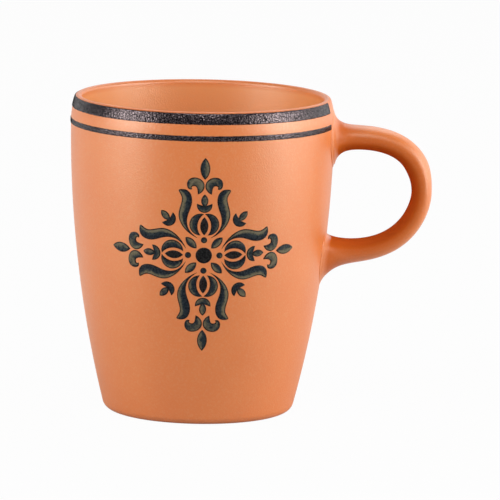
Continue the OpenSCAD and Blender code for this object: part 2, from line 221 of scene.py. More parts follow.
class WallLine:
    """The turned line of the body: long wall arc, lip arc, round nose, inner wall, floor and foot."""

    def __init__(self, s):
        self.s = s
        self.centre = np.array([s.rim_radius - s.wall_curve, s.shoulder])
        self.inner_curve = s.wall_curve - s.wall
        lip_h = s.height - s.shoulder
        inset = s.lip_inset * s.wall
        over = (s.wall_curve - inset) ** 2 + lip_h**2 - self.inner_curve**2
        self.nose_r = over / (2 * (self.inner_curve + lip_h))
        over = inset**2 + (lip_h - self.nose_r) ** 2 - self.nose_r**2
        self.lip_curve = over / (2 * (inset - self.nose_r))
        self.nose = np.array([s.rim_radius - inset, s.height - self.nose_r])
        self.lip = np.array([s.rim_radius - self.lip_curve, s.shoulder])

    def radius(self, z):
        return self.centre[0] + np.sqrt(self.s.wall_curve**2 - (np.asarray(z) - self.s.shoulder) ** 2)

    def corner(self, curve, level, r):
        """Centre of the rounding of radius r between an arc of the wall and a flat level."""
        fall = self.s.shoulder - level - r
        return np.array([self.centre[0] + math.sqrt((curve - r) ** 2 - fall**2), level + r])

    def tilt(self, p):
        return math.atan2(self.s.shoulder - p[1], p[0] - self.centre[0])

    def outside(self):
        """From the foot's flat ring up the wall to the top of the lip."""
        s = self.s
        foot = self.corner(s.wall_curve, 0, s.foot_round)
        lean = self.tilt(foot)
        turn = math.atan2(self.nose[1] - self.lip[1], self.nose[0] - self.lip[0])
        return np.concatenate([
            arc(foot, s.foot_round, -math.pi / 2, -lean, steps=10),
            arc(self.centre, s.wall_curve, -lean, 0, steps=64)[1:],
            arc(self.lip, self.lip_curve, 0, turn, steps=10)[1:],
            arc(self.nose, self.nose_r, turn, math.pi / 2, steps=10)[1:],
        ])

    def whole(self):
        """Once round the section, from the middle of the hollow to the middle of the inner floor."""
        s = self.s
        outside = self.outside()
        hollow_r = outside[0, 0] - s.foot_ring
        roof_r = hollow_r - s.hollow_round
        well = self.corner(self.inner_curve, s.floor, s.floor_round)
        lean = self.tilt(well)
        turn = math.atan2(self.nose[1] - self.centre[1], self.nose[0] - self.centre[0])
        roof = np.linspace(0, roof_r, 12)
        floor = np.linspace(well[0], 0, 14)
        return np.concatenate([
            np.stack([roof, np.full(len(roof), s.hollow)], 1),
            arc((roof_r, s.hollow - s.hollow_round), s.hollow_round, math.pi / 2, 0, steps=8)[1:],
            arc((hollow_r + s.sponged, s.sponged), s.sponged, math.pi, 1.5 * math.pi, steps=5),
            outside,
            arc(self.nose, self.nose_r, math.pi / 2, math.pi + turn, steps=12)[1:],
            arc(self.centre, self.inner_curve, turn, -lean, steps=60)[1:],
            arc(well, s.floor_round, -lean, -math.pi / 2, steps=14)[1:],
            np.stack([floor, np.full(len(floor), s.floor)], 1)[1:],
        ])


BODY_SEGMENTS = 256


def arc(centre, r, start, end, steps):
    a = np.linspace(start, end, steps + 1)
    return np.stack([centre[0] + r * np.cos(a), centre[1] + r * np.sin(a)], 1)


def add_object(name, data):
    thing = bpy.data.objects.new(name, data)
    bpy.context.scene.collection.objects.link(thing)
    return thing


def add_piece(name, verts, faces, material, slot, *nodes):
    """Makes a smooth mesh object that rides on the cup and stands for its CAD nodes."""
    mesh = bpy.data.meshes.new(name)
    mesh.from_pydata([tuple(map(float, v)) for v in verts], [], [tuple(map(int, f)) for f in faces])
    mesh.validate()
    mesh.shade_smooth()
    mesh.materials.append(material)
    piece = add_object(name, mesh)
    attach(piece, "root")
    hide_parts(*nodes)
    return piece


def mark_points(piece, **marks):
    """Gives each point of a piece the numbers that its material reads."""
    for key, values in marks.items():
        piece.data.attributes.new(key, "FLOAT", "POINT").data.foreach_set("value", values)


def grid_faces(rows, columns):
    """Quads between rows of points, where each row closes on itself."""
    faces = []
    for i in range(rows - 1):
        for j in range(columns):
            a, b = i * columns + j, i * columns + (j + 1) % columns
            faces.append((a, b, b + columns, a + columns))
    return faces


def turned_mesh(line, segments):
    """Turns a line that starts and ends on the axis."""
    rings = line[1:-1]
    a = np.linspace(0, 2 * math.pi, segments, endpoint=False)
    verts = [(0, 0, line[0, 1])]
    for r, z in rings:
        verts += list(np.stack([r * np.cos(a), r * np.sin(a), np.full(segments, z)], 1))
    verts.append((0, 0, line[-1, 1]))
    faces = [tuple(1 + v for v in f) for f in grid_faces(len(rings), segments)]
    last = 1 + (len(rings) - 1) * segments
    for j in range(segments):
        k = (j + 1) % segments
        faces.append((0, 1 + k, 1 + j))
        faces.append((len(verts) - 1, last + j, last + k))
    return verts, faces


def add_node(tree, kind, links=(), inputs=(), stops=(), **settings):
    """Adds a shader node, sets it, links sockets into it, and gives a colour ramp its stops."""
    node = tree.nodes.new(kind)
    for key, value in settings.items():
        setattr(node, key, value)
    for key, value in dict(inputs).items():
        node.inputs[key].default_value = value
    for key, socket in dict(links).items():
        tree.links.new(socket, node.inputs[key])
    for k, (at, shade) in enumerate(stops):
        marks = node.color_ramp.elements
        mark = marks[k] if k < 2 else marks.new(at)
        mark.position, mark.color = at, shade
    return node


def empty_tree(owner):
    """The node tree of a material or world, cleared."""
    owner.use_nodes = True
    owner.node_tree.nodes.clear()
    return owner.node_tree


def new_material(name):
    material = bpy.data.materials.new(name)
    return material, empty_tree(material)


def rgba(c):
    return (*c, 1.0)


WHITE = (1.0, 1.0, 1.0, 1.0)


def per_metre(size_mm):
    """Scale of a noise texture whose pattern repeats about every size_mm."""
    return 1000 / size_mm


CLAY_NAME = "Terracotta stoneware, satin glazed"


def clay_material(f):
    """Terracotta stoneware, slip-cast and sponged under a thin satin glaze: warm orange, hardly
    clouded, with a dust of pale specks and a fine orange-peel skin that spreads every highlight."""
    clouds_mm, dust_mm = 16, 0.7
    # the real skin is near a quarter of a millimetre across: too fine to show, so drawn at 0.45 mm
    skin_mm, skin_depth = 0.45, 0.08 * MM
    most_dust = 0.3
    # gloss that thick glaze adds inside, and how much of the plain gloss the thin mark takes at the thinly
    # glazed lip and at the handle's painted shade: past 1 nothing is left
    poured_gloss, thin_and_shade_gloss_loss = 0.8, 1.2
    material, tree = new_material(CLAY_NAME)
    place = add_node(tree, "ShaderNodeTexCoord").outputs["Object"]
    clouds = add_node(tree, "ShaderNodeTexNoise", {"Vector": place},
                      {"Scale": per_metre(clouds_mm), "Detail": 3, "Roughness": 0.5})
    tone = add_node(tree, "ShaderNodeValToRGB", {"Fac": clouds.outputs["Fac"]},
                    stops=[(0.2, rgba(f.clay_deep)), (0.8, rgba(f.clay))])
    dust = add_node(tree, "ShaderNodeTexNoise", {"Vector": place},
                    {"Scale": per_metre(dust_mm), "Detail": 2, "Roughness": 0.6})
    specks = add_node(tree, "ShaderNodeMapRange", {"Value": dust.outputs["Fac"]},
                      {"From Min": 0.48, "From Max": 0.75, "To Min": 0, "To Max": most_dust})
    # the inside mark is painted light: it mixes in the lighter inside clay so that the inside of the cup
    # shows brighter, and it adds gloss
    poured = add_node(tree, "ShaderNodeAttribute", attribute_name="inside")
    tone = add_node(tree, "ShaderNodeMix", {0: poured.outputs["Fac"], 6: tone.outputs["Color"]},
                    {7: rgba(f.inside_clay_painted_light)}, data_type="RGBA")
    tone = add_node(tree, "ShaderNodeMix", {0: specks.outputs["Result"], 6: tone.outputs[2]},
                    {7: rgba(f.clay_dust)}, data_type="RGBA")
    # the thin mark darkens the clay and takes away gloss: at the lip for its thinner glaze, and on the handle
    # as painted shade on its inner side and at its joints
    thin = add_node(tree, "ShaderNodeAttribute", attribute_name="thin")
    body = add_node(tree, "ShaderNodeMix", {0: thin.outputs["Fac"], 6: tone.outputs[2]},
                    {7: rgba(f.thin_glaze_and_painted_shade)}, data_type="RGBA")
    dull = add_node(tree, "ShaderNodeMath", {0: thin.outputs["Fac"]},
                    {1: -thin_and_shade_gloss_loss * f.clay_gloss, 2: f.clay_gloss}, use_clamp=True,
                    operation="MULTIPLY_ADD")
    gloss = add_node(tree, "ShaderNodeMath", {0: poured.outputs["Fac"], 2: dull.outputs[0]},
                     {1: poured_gloss}, operation="MULTIPLY_ADD")
    skin = add_node(tree, "ShaderNodeTexNoise", {"Vector": place},
                    {"Scale": per_metre(skin_mm), "Detail": 2, "Roughness": 0.6})
    bump = add_node(tree, "ShaderNodeBump", {"Height": skin.outputs["Fac"]},
                    {"Strength": 0.9, "Distance": skin_depth})
    shader = add_node(tree, "ShaderNodeBsdfPrincipled",
                      {"Base Color": body.outputs[2], "Normal": bump.outputs["Normal"],
                       "Specular IOR Level": gloss.outputs[0]},
                      {"Roughness": f.clay_rough, "IOR": 1.8, "Specular Tint": rgba(f.clay_sheen)})
    add_node(tree, "ShaderNodeOutputMaterial", {"Surface": shader.outputs["BSDF"]})
    return material


def band_material(f):
    """Fired enamel, brushed on with coarse frit: glassy blue-black grains stand proud of a dull dark
    ground, so the band glitters grain by grain where a lamp meets it and is near black elsewhere."""
    frit_mm, frit_depth = 0.38, 0.09 * MM
    ground_gloss = 0.05
    # glint of a grain seen face on, and its loss by the time the band is seen edge on
    face_on, turned_loss = 1.2, 1.45
    material, tree = new_material("Blue-black frit enamel, brushed and fired")
    place = add_node(tree, "ShaderNodeTexCoord").outputs["Object"]
    frit = add_node(tree, "ShaderNodeTexNoise", {"Vector": place},
                    {"Scale": per_metre(frit_mm), "Detail": 2, "Roughness": 0.7})
    grains = add_node(tree, "ShaderNodeMapRange", {"Value": frit.outputs["Fac"]},
                      {"From Min": 0.44, "From Max": 0.6, "To Min": 0, "To Max": 1})
    tone = add_node(tree, "ShaderNodeMix", {0: grains.outputs["Result"]},
                    {6: rgba(f.band), 7: rgba(f.band_grain)}, data_type="RGBA")
    gloss = add_node(tree, "ShaderNodeMapRange", {"Value": grains.outputs["Result"]},
                     {"From Min": 0, "From Max": 1, "To Min": ground_gloss, "To Max": f.band_gloss})
    # grains hide each other's glint where the band turns away
    turned = add_node(tree, "ShaderNodeLayerWeight", inputs={"Blend": 0.5})
    fade = add_node(tree, "ShaderNodeMath", {0: turned.outputs["Facing"]}, {1: -turned_loss, 2: face_on},
                    operation="MULTIPLY_ADD", use_clamp=True)
    glint = add_node(tree, "ShaderNodeMath", {0: gloss.outputs["Result"], 1: fade.outputs[0]},
                     operation="MULTIPLY")
    bump = add_node(tree, "ShaderNodeBump", {"Height": frit.outputs["Fac"]},
                    {"Strength": 0.6, "Distance": frit_depth})
    shader = add_node(tree, "ShaderNodeBsdfPrincipled",
                      {"Base Color": tone.outputs[2], "Normal": bump.outputs["Normal"],
                       "Specular IOR Level": glint.outputs[0]},
                      {"Roughness": f.band_rough, "IOR": 1.9, "Specular Tint": rgba(f.band_sheen)})
    add_node(tree, "ShaderNodeOutputMaterial", {"Surface": shader.outputs["BSDF"]})
    return material


def paint_material(f, name, stops):
    """Painted enamel, fired: a dark outline is drawn first, then each shape is filled from a dark
    side to a grey-olive side with the streaks of the brush, and its skin is finely grained."""
    streaks_mm, streak_strength, edge_waver = 1.4, 0.9, 0.25
    # distances from a shape's edge, with the waver, where its outline starts to fade and its fill is whole
    outline_mm, fill_mm = 0.36, 0.62
    skin_mm, skin_depth = 0.6, 0.07 * MM
    ground_gloss = 0.1
    material, tree = new_material(name)
    place = add_node(tree, "ShaderNodeTexCoord").outputs["Object"]
    tone = add_node(tree, "ShaderNodeAttribute", attribute_name="tone")
    edge = add_node(tree, "ShaderNodeAttribute", attribute_name="edge")
    streaks = add_node(tree, "ShaderNodeTexNoise", {"Vector": place},
                       {"Scale": per_metre(streaks_mm), "Detail": 3, "Roughness": 0.65})
    wash = add_node(tree, "ShaderNodeMath", {0: streaks.outputs["Fac"]}, {1: 0.5}, operation="SUBTRACT")
    wash = add_node(tree, "ShaderNodeMath", {0: wash.outputs[0], 2: tone.outputs["Fac"]},
                    {1: streak_strength}, operation="MULTIPLY_ADD")
    fill = add_node(tree, "ShaderNodeValToRGB", {"Fac": wash.outputs[0]}, stops=stops)
    rim = add_node(tree, "ShaderNodeMath", {0: streaks.outputs["Fac"], 2: edge.outputs["Fac"]},
                   {1: edge_waver}, operation="MULTIPLY_ADD")
    line = add_node(tree, "ShaderNodeMapRange", {"Value": rim.outputs[0]},
                    {"From Min": outline_mm, "From Max": fill_mm, "To Min": 1, "To Max": 0})
    paint = add_node(tree, "ShaderNodeMix", {0: line.outputs["Result"], 6: fill.outputs["Color"]},
                     {7: rgba(f.outline)}, data_type="RGBA")
    skin = add_node(tree, "ShaderNodeTexNoise", {"Vector": place},
                    {"Scale": per_metre(skin_mm), "Detail": 2, "Roughness": 0.6})
    gloss = add_node(tree, "ShaderNodeMapRange", {"Value": skin.outputs["Fac"]},
                     {"From Min": 0.35, "From Max": 0.7, "To Min": ground_gloss, "To Max": f.paint_gloss})
    bump = add_node(tree, "ShaderNodeBump", {"Height": skin.outputs["Fac"]},
                    {"Strength": 0.25, "Distance": skin_depth})
    shader = add_node(tree, "ShaderNodeBsdfPrincipled",
                      {"Base Color": paint.outputs[2], "Normal": bump.outputs["Normal"],
                       "Specular IOR Level": gloss.outputs["Result"]},
                      {"Roughness": f.paint_rough, "IOR": 1.5})
    add_node(tree, "ShaderNodeOutputMaterial", {"Surface": shader.outputs["BSDF"]})
    return material


def petal_paint(f):
    name = "Painted enamel, petals"
    stops = [(0.15, rgba(f.paint_dark)), (0.5, rgba(f.paint_mid)), (0.85, rgba(f.paint_light))]
    return bpy.data.materials.get(name) or paint_material(f, name, stops)


def seed_paint(f):
    name = "Painted enamel, seeds"
    stops = [(0.2, rgba(f.outline)), (0.8, rgba(f.seed_paint))]
    return bpy.data.materials.get(name) or paint_material(f, name, stops)


def clay(f):
    return bpy.data.materials.get(CLAY_NAME) or clay_material(f)


# the centre line of the handle, upper and lower half: the control points of a curve, as shares of how far
# it stands out and of how far it falls
TOP_CURVE_SHARES = [(0, 0), (0.68, -0.23), (1, 0.15), (1, 1)]
LOW_CURVE_SHARES = [(1, 0), (1, 0.3), (0.84, 1.33), (0, 1)]
# how a joint spreads on its outer side, on its inner side and across, as shares of its flare
TOP_FLARE_SHARES = (1, 0.89, 0.74)
LOW_FLARE_SHARES = (1, 0.04, 0.46)
# where along a half its thickness starts to change, and over how much of it
TOP_CHANGE_SHARES = (0.75, 0.25)
LOW_CHANGE_SHARES = (0.1, 0.79)
HANDLE_RING_POINTS = 112
HANDLE_STEPS = 900
HANDLE_ROWS = 260
# how far the handle's mesh runs on into the wall, as a share of the wall's thickness
BURIED_SHARE = 0.25
# how much of the spacing of its rows is even: the rest crowds them to the two joints
EVEN_SHARE = 0.12


def bezier(p, t):
    t = np.asarray(t)[..., None]
    return (1 - t) ** 3 * p[0] + 3 * t * (1 - t) ** 2 * p[1] + 3 * t**2 * (1 - t) * p[2] + t**3 * p[3]


def bezier_way(p, t):
    t = np.asarray(t)[..., None]
    d = (1 - t) ** 2 * (p[1] - p[0]) + 2 * t * (1 - t) * (p[2] - p[1]) + t**2 * (p[3] - p[2])
    return d / np.linalg.norm(d, axis=-1, keepdims=True)


def mixed(start, end, change, t):
    x = np.clip((t - change[0]) / change[1], 0, 1)
    return start + (end - start) * x * x * (3 - 2 * x)


def rounded(x, squareness):
    """Turns the sine or cosine of a circle into that of a rounded square."""
    return np.sign(x) * np.abs(x) ** (2 / squareness)


def handle_rings(s, wall):
    """Rings of the handle along its whole centre line, spread near the wall."""
    rim = wall.s.rim_radius
    joint_x, grip_x = rim - s.joint_depth, rim + s.reach - s.grip_thick / 2
    span, top_fall, low_fall = grip_x - joint_x, s.top_joint - s.grip, s.grip - s.low_joint
    top = np.array([(joint_x + a * span, s.top_joint - b * top_fall) for a, b in TOP_CURVE_SHARES])
    low = np.array([(joint_x + a * span, s.grip - b * low_fall) for a, b in LOW_CURVE_SHARES])
    t = np.linspace(0, 1, HANDLE_STEPS)
    halves = (
        (top, t, mixed(s.top_thick, s.grip_thick, TOP_CHANGE_SHARES, t),
         s.top_flare * np.array(TOP_FLARE_SHARES), s.top_run),
        (low, t[1:], mixed(s.grip_thick, s.low_thick, LOW_CHANGE_SHARES, t[1:]),
         s.low_flare * np.array(LOW_FLARE_SHARES), s.low_run),
    )
    turn = np.linspace(0, 2 * math.pi, HANDLE_RING_POINTS, endpoint=False)
    outward, sideways = np.cos(turn), np.sin(turn)
    across = s.width / 2 * rounded(sideways, s.squareness)
    rings = []
    for curve, t, thick, flare, run in halves:
        at, way = bezier(curve, t), bezier_way(curve, t)
        out = np.stack([-way[:, 1], way[:, 0]], 1)[:, None]
        rise = thick[:, None] / 2 * rounded(outward, s.squareness)
        spot = at[:, None] + rise[..., None] * out
        gap = np.maximum(np.hypot(spot[..., 0], across) - wall.radius(spot[..., 1]), 0)
        spread = sideways**2 * flare[2] + outward**2 * np.where(outward > 0, flare[0], flare[1])
        grow = spread * np.exp(-gap / run)
        edge, side = spot + (grow * outward)[..., None] * out, across + grow * sideways
        near = np.clip(np.hypot(edge[..., 0], side) - wall.radius(edge[..., 1]), 0, s.fillet) / s.fillet
        grow = grow + s.fillet * (1 - np.sqrt(1 - (1 - near) ** 2))
        edge, side = spot + (grow * outward)[..., None] * out, across + grow * sideways
        rings.append(np.stack([edge[..., 0], side, edge[..., 1]], -1))
    return np.concatenate(rings)


def handle_mesh(s, wall):
    """Trims each line along the handle just inside the wall and spaces its points again."""
    rings, rows, columns = handle_rings(s, wall), HANDLE_ROWS, HANDLE_RING_POINTS
    buried = -BURIED_SHARE * wall.s.wall
    depth = np.hypot(rings[..., 0], rings[..., 1]) - wall.radius(rings[..., 2])
    u = np.linspace(0, 1, rows)
    u = EVEN_SHARE * u + (1 - EVEN_SHARE) * (1 - np.cos(math.pi * u)) / 2
    lines = np.empty((rows, columns, 3))
    index = np.arange(len(rings))
    for k in range(columns):
        free = np.nonzero(depth[:, k] > buried)[0]
        first, last = free[0], free[-1]
        start = first - 1 + (buried - depth[first - 1, k]) / (depth[first, k] - depth[first - 1, k])
        end = last + (depth[last, k] - buried) / (depth[last, k] - depth[last + 1, k])
        where = start + (end - start) * u
        for c in range(3):
            lines[:, k, c] = np.interp(where, index, rings[:, k, c])
    verts = list(lines.reshape(-1, 3))
    faces = grid_faces(rows, columns)
    for row, flip in ((0, False), (rows - 1, True)):
        verts.append(lines[row].mean(0))
        for j in range(columns):
            a, b = row * columns + j, row * columns + (j + 1) % columns
            faces.append((len(verts) - 1, a, b) if flip else (len(verts) - 1, b, a))
    return verts, faces


BAND_STEPS_AROUND = 1700
BAND_POINTS_ACROSS = {"rim_band": 26, "lower_band": 15}
WAVERS_PER_METRE = 900
GRAIN_CONTRAST = 1.6


def band_mesh(s, wall, low, high, across):
    """A strip of grainy enamel on the wall with rounded, slightly wandering edges."""
    line = wall.outside()
    run = np.concatenate([[0], np.cumsum(np.hypot(*np.diff(line, axis=0).T))])
    way = np.gradient(line, run, axis=0)
    way /= np.linalg.norm(way, axis=1, keepdims=True)
    normal = np.stack([way[:, 1], -way[:, 0]], 1)

    def lifted(x, h):
        """Radius and height of points at x along the line, h off the wall."""
        return [np.interp(x, run, line[:, c]) + h * np.interp(x, run, normal[:, c]) for c in (0, 1)]

    start, end = (float(np.interp(z, line[:, 1], run)) for z in (low, high))
    angles = np.linspace(s.gap / 2, 2 * math.pi - s.gap / 2, BAND_STEPS_AROUND)
    rim = wall.s.rim_radius
    verts = []
    for a in angles:
        spots = [Vector((math.cos(a) * rim, math.sin(a) * rim, z)) for z in (low, high)]
        wander = [s.waver * noise.noise(spot * WAVERS_PER_METRE) for spot in spots]
        lo, hi = start + abs(wander[0]), end - abs(wander[1])
        v = np.linspace(lo, hi, across)
        ends = min(a - angles[0], angles[-1] - a) * rim
        away = np.minimum(np.minimum(v - lo, hi - v), ends)
        near = 1 - np.clip(away / s.edge, 0, 1)
        lift = s.thick * np.sqrt(np.maximum(1 - near**2, 0))
        for k, (r, z) in enumerate(zip(*lifted(v, 0))):
            grain = noise.noise(Vector((r * math.cos(a), r * math.sin(a), z)) / s.grain)
            lift[k] += s.grain_height * max(-1, min(1, GRAIN_CONTRAST * grain)) * (1 - near[k])
        r, z = lifted(np.append(v, (hi, lo)), np.append(lift, (-s.thick, -s.thick)))
        verts += list(np.stack([r * math.cos(a), r * math.sin(a), z], 1))
    loop = across + 2
    faces = [f[::-1] for f in grid_faces(len(angles), loop)]
    faces.append(tuple(range(loop)))
    faces.append(tuple(range(len(verts) - 1, len(verts) - 1 - loop, -1)))
    return verts, faces


OUTER_PETAL_SHARES = [
    (0, 0), (0.4, 0.06), (0.9, 0.23), (0.97, 0.44), (1.01, 0.57), (0.82, 0.7), (0.83, 0.8), (0.83, 0.87),
    (0.97, 0.92), (1, 0.965), (1.01, 0.995), (0.89, 1), (0.77, 1), (0.5, 1), (0.32, 0.905), (0.32, 0.765),
    (0.32, 0.615), (0.55, 0.505), (0.55, 0.355), (0.55, 0.19), (0.34, 0.1), (0, 0),
]
HOOK_SHARES = [
    (0.37, 0), (0.18, 0.06), (0.01, 0.26), (0, 0.48), (-0.01, 0.77), (0.24, 1), (0.57, 1), (0.84, 1),
    (1, 0.82), (1, 0.59), (1, 0.44), (0.94, 0.32), (0.85, 0.29), (0.78, 0.27), (0.73, 0.28), (0.69, 0.32),
    (0.78, 0.41), (0.7, 0.49), (0.57, 0.49), (0.4, 0.48), (0.4, 0.23), (0.37, 0),
]
# heights of a bud's V in the middle and this far out, all as shares of the bud's radius
BUD_V_SHARES = (-0.16, 0.22)
BUD_V_REACH_SHARE = 1.1
# how far a bud's leaf is moved out of it, as a share of the leaf's length
BUD_LEAF_RISE_SHARE = 0.32


def circle(r, steps=72):
    a = np.linspace(0, 2 * math.pi, steps, endpoint=False)
    return np.stack([r * np.cos(a), r * np.sin(a)], 1)


def almond(l, w, steps=30):
    """A pointed leaf between two equal arcs."""
    r = (l * l + w * w) / (4 * w)
    half = math.asin(l / 2 / r)
    right = arc((w / 2 - r, 0), r, -half, half, steps)
    left = arc((r - w / 2, 0), r, math.pi - half, math.pi + half, steps)
    return np.concatenate([right[:-1], left[:-1]])


def curved(shares, w, l, steps=14):
    """A closed outline of Bezier curves, every third point on the line."""
    p = np.array(shares) * (w, l)
    t = np.linspace(0, 1, steps, endpoint=False)
    return np.concatenate([bezier(p[i : i + 4], t) for i in range(0, len(p) - 1, 3)])


def crescent(r, hollow_at, hollow_r):
    """What is left of a disc when a larger disc is taken from one side of it."""
    hollow_at = np.array(hollow_at)
    d = np.linalg.norm(hollow_at)
    way = math.atan2(hollow_at[1], hollow_at[0])
    a = math.acos((d * d + r * r - hollow_r**2) / (2 * d * r))
    b = math.acos((d * d + hollow_r**2 - r * r) / (2 * d * hollow_r))
    return np.concatenate([
        arc((0, 0), r, way + a, way + 2 * math.pi - a, steps=60)[:-1],
        arc(hollow_at, hollow_r, way + math.pi + b, way + math.pi - b, steps=30)[:-1],
    ])


def bud_bowl(r):
    """A disc cut by a shallow V."""
    low, high = BUD_V_SHARES
    rise = (high - low) / BUD_V_REACH_SHARE
    slope = 1 + rise * rise
    x = (-rise * low + math.sqrt(rise * rise * low * low - slope * (low * low - 1))) / slope
    a = math.atan2(low + rise * x, x)
    return np.concatenate([arc((0, 0), r, math.pi - a, 2 * math.pi + a, steps=50), [(0, low * r)]])


class Sheet:
    """The wall round the medallion, unrolled flat as a cone is."""

    def __init__(self, s, wall):
        self.wall = wall
        self.height = NARROW_LOW.z - s.clear - s.reach
        self.radius = float(wall.radius(self.height))
        lean = math.atan((wall.s.shoulder - self.height) / (self.radius - wall.centre[0]))
        self.cos, self.slant = math.cos(lean), self.radius / math.sin(lean)

    def lay(self, flat, lift):
        """Flat points, lifted off the wall, on the cup."""
        x, y = flat[:, 0], self.slant + flat[:, 1]
        a = np.arctan2(x, y) * self.slant / self.radius
        z = self.height + (np.hypot(x, y) - self.slant) * self.cos
        r = self.wall.radius(z)
        tilt = np.arcsin((self.wall.s.shoulder - z) / self.wall.s.wall_curve)
        r, z = r + lift * np.cos(tilt), z - lift * np.sin(tilt)
        return np.stack([r * np.sin(a), -r * np.cos(a), z], 1)


# shares of the mesh spacing: points closer than this are dropped, the field keeps this far from the
# outline, and the field's rows lie this far apart
CROWDED_SHARE, MARGIN_SHARE, ROW_SHARE = 0.35, 0.45, 0.866
TINY = 1e-9


def spaced(outline, spacing):
    """The outline with points at an even distance, its corners kept."""
    out = []
    for p, q in zip(outline, np.roll(outline, -1, axis=0)):
        n = max(1, int(np.linalg.norm(q - p) / spacing))
        out += [p + (q - p) * k / n for k in range(n)]
    thin = [out[0]]
    for p in out[1:]:
        if np.linalg.norm(p - thin[-1]) > CROWDED_SHARE * spacing:
            thin.append(p)
    return np.array(thin)


def to_edge(points, outline):
    """Distance from points to an outline, and the way to its nearest point."""
    a, b = outline, np.roll(outline, -1, axis=0)
    ab = b - a
    t = np.clip(((points[:, None] - a) * ab).sum(-1) / np.maximum((ab * ab).sum(-1), TINY**2), 0, 1)
    near = a + t[..., None] * ab
    d = np.linalg.norm(points[:, None] - near, axis=-1)
    best = d.argmin(1)
    rows = np.arange(len(points))
    return d[rows, best], near[rows, best] - points


def inside(points, outline):
    x, y = points[:, 0][:, None], points[:, 1][:, None]
    a, b = outline, np.roll(outline, -1, axis=0)
    cross = (a[:, 1] > y) != (b[:, 1] > y)
    rise = np.where(b[:, 1] == a[:, 1], TINY**2, b[:, 1] - a[:, 1])
    at = a[:, 0] + (y - a[:, 1]) * (b[:, 0] - a[:, 0]) / rise
    return (cross & (x < at)).sum(1) % 2 == 1


class Shape:
    """One painted shape of the medallion: its outline, where its light side is, and its tones."""

    def __init__(self, outline, light=(0, 1), base=0.5, gain=0.5, lift=1.0):
        self.outline, self.light = outline, np.array(light, float)
        self.base, self.gain, self.lift = base, gain, lift

    def moved(self, x=0.0, y=0.0, turn=0.0, mirror=False):
        flat, light = self.outline.copy(), self.light.copy()
        if mirror:
            flat, light = flat[::-1] * (-1, 1), light * (-1, 1)
        flat = flat + (x, y)
        c, s = math.cos(turn), math.sin(turn)
        spin = np.array([[c, s], [-s, c]])
        return Shape(flat @ spin, light @ spin, self.base, self.gain, self.lift)


def round_arms(shape, at, count=4, start=0.0):
    return [shape.moved(0, at, start + k * 2 * math.pi / count) for k in range(count)]


def on_both_sides(shape, x, at):
    return [shape.moved(side * x, at, k * math.pi / 2, side < 0) for k in range(4) for side in (1, -1)]


# how far a shape's tone may stray, and how deep its underside lies, as a share of its thickness
TONE_SHIFT = 0.1
BURIED_PAINT_SHARE = 0.5


def painted_piece(name, shapes, s, sheet, material, nodes, seed):
    """Raised, softly rounded pads of enamel. Each point keeps its distance from the edge, in
    millimetres, and its tone for the paint."""
    rng = random.Random(seed)
    verts, faces, edges, tones = [], [], [], []
    for shape in shapes:
        line = spaced(shape.outline, s.spacing)
        lo, hi = line.min(0), line.max(0)
        step = s.spacing
        gx, gy = np.meshgrid(np.arange(lo[0], hi[0], step), np.arange(lo[1], hi[1], step * ROW_SHARE))
        gx[1::2] += step / 2
        field = np.stack([gx.ravel(), gy.ravel()], 1)
        field = field[inside(field, line)]
        d, _ = to_edge(field, line)
        field = field[d > MARGIN_SHARE * step]
        count = len(line)
        points = [Vector(p) for p in np.concatenate([line, field])]
        ring = [(i, (i + 1) % count) for i in range(count)]
        flat, _, tris, *_ = delaunay_2d_cdt(points, ring, [tuple(range(count))], 1, TINY)
        flat = np.array([(p.x, p.y) for p in flat])
        d, way = to_edge(flat, line)
        d[d < 100 * TINY] = 0
        near = 1 - np.clip(d / s.edge, 0, 1)
        height = shape.lift * s.thick * np.sqrt(np.maximum(1 - near**2, 0))
        middle = d / max(d.max(), TINY)
        side = (way * shape.light).sum(1) / np.maximum(np.linalg.norm(way, axis=1), TINY) * (1 - middle)
        tone = shape.base + rng.uniform(-TONE_SHIFT, TONE_SHIFT) + shape.gain * side
        top = sheet.lay(flat, height)
        under = sheet.lay(flat, np.full(len(flat), -BURIED_PAINT_SHARE * s.thick))
        base = len(verts)
        n = len(flat)
        verts += list(top) + list(under)
        edges += list(d / MM) + [0.0] * n
        tones += list(tone) + list(tone)
        uses = {}
        for t in tris:
            faces.append(tuple(base + i for i in t))
            faces.append(tuple(base + n + i for i in reversed(t)))
            for a, b in zip(t, t[1:] + t[:1]):
                uses[(a, b)] = True
        for a, b in uses:
            if (b, a) not in uses:
                faces.append((base + b, base + a, base + n + a, base + n + b))
    piece = add_piece(name, verts, faces, material, "dark_enamel", *nodes)
    mark_points(piece, edge=edges, tone=tones)


def paint_pieces(scene, pieces):
    """Paints pieces of the medallion, each given as its CAD node, its shapes, its paint and a seed."""
    s = scene.cup_medallion
    sheet = Sheet(s, WallLine(scene.cup_body))
    for node, shapes, paint, seed in pieces:
        painted_piece(node + "_paint", shapes, s, sheet, paint(scene.cup_finish), [node], seed)


class CUP_OT_body(Operator):
    """Turn the clay body: wall, lip, inside, floor and foot ring"""

    bl_idname = "cup.body"
    bl_label = "Cup Body"

    def execute(self, context):
        s, f = context.scene.cup_body, context.scene.cup_finish
        wall = WallLine(s)
        verts, faces = turned_mesh(wall.whole(), BODY_SEGMENTS)
        cup = add_piece("cup_body_clay", verts, faces, clay(f), "terracotta_clay", "cup_body")
        x, y, z = np.array(verts).T
        lip = np.clip(1 - (s.height - z) / f.lip_run, 0, 1)
        deep = (np.hypot(x, y) < wall.radius(z) - s.wall / 2) & (z > s.floor - MM)
        # inside is painted light that lightens the clay in the cup, short of the lip; thin darkens the lip
        # where its glaze runs thin
        mark_points(cup, inside=deep * (1 - lip), thin=f.lip_thin * lip)
        return {"FINISHED"}


# the cosine round the handle's section, 1 on its outer side, at which painted shade starts on its inner side,
# and the change of it over which that shade becomes full
SHADE_START, SHADE_CHANGE = 0.75, 1.3
# how much painted shade the joints get, and the distance from the wall over which that would fall by 1
JOINT_SHADE, JOINT_RUN_MM = 0.85, 14
# distance from the wall over which the painted shade grows from none to whole
SHADE_GROW_MM = 2


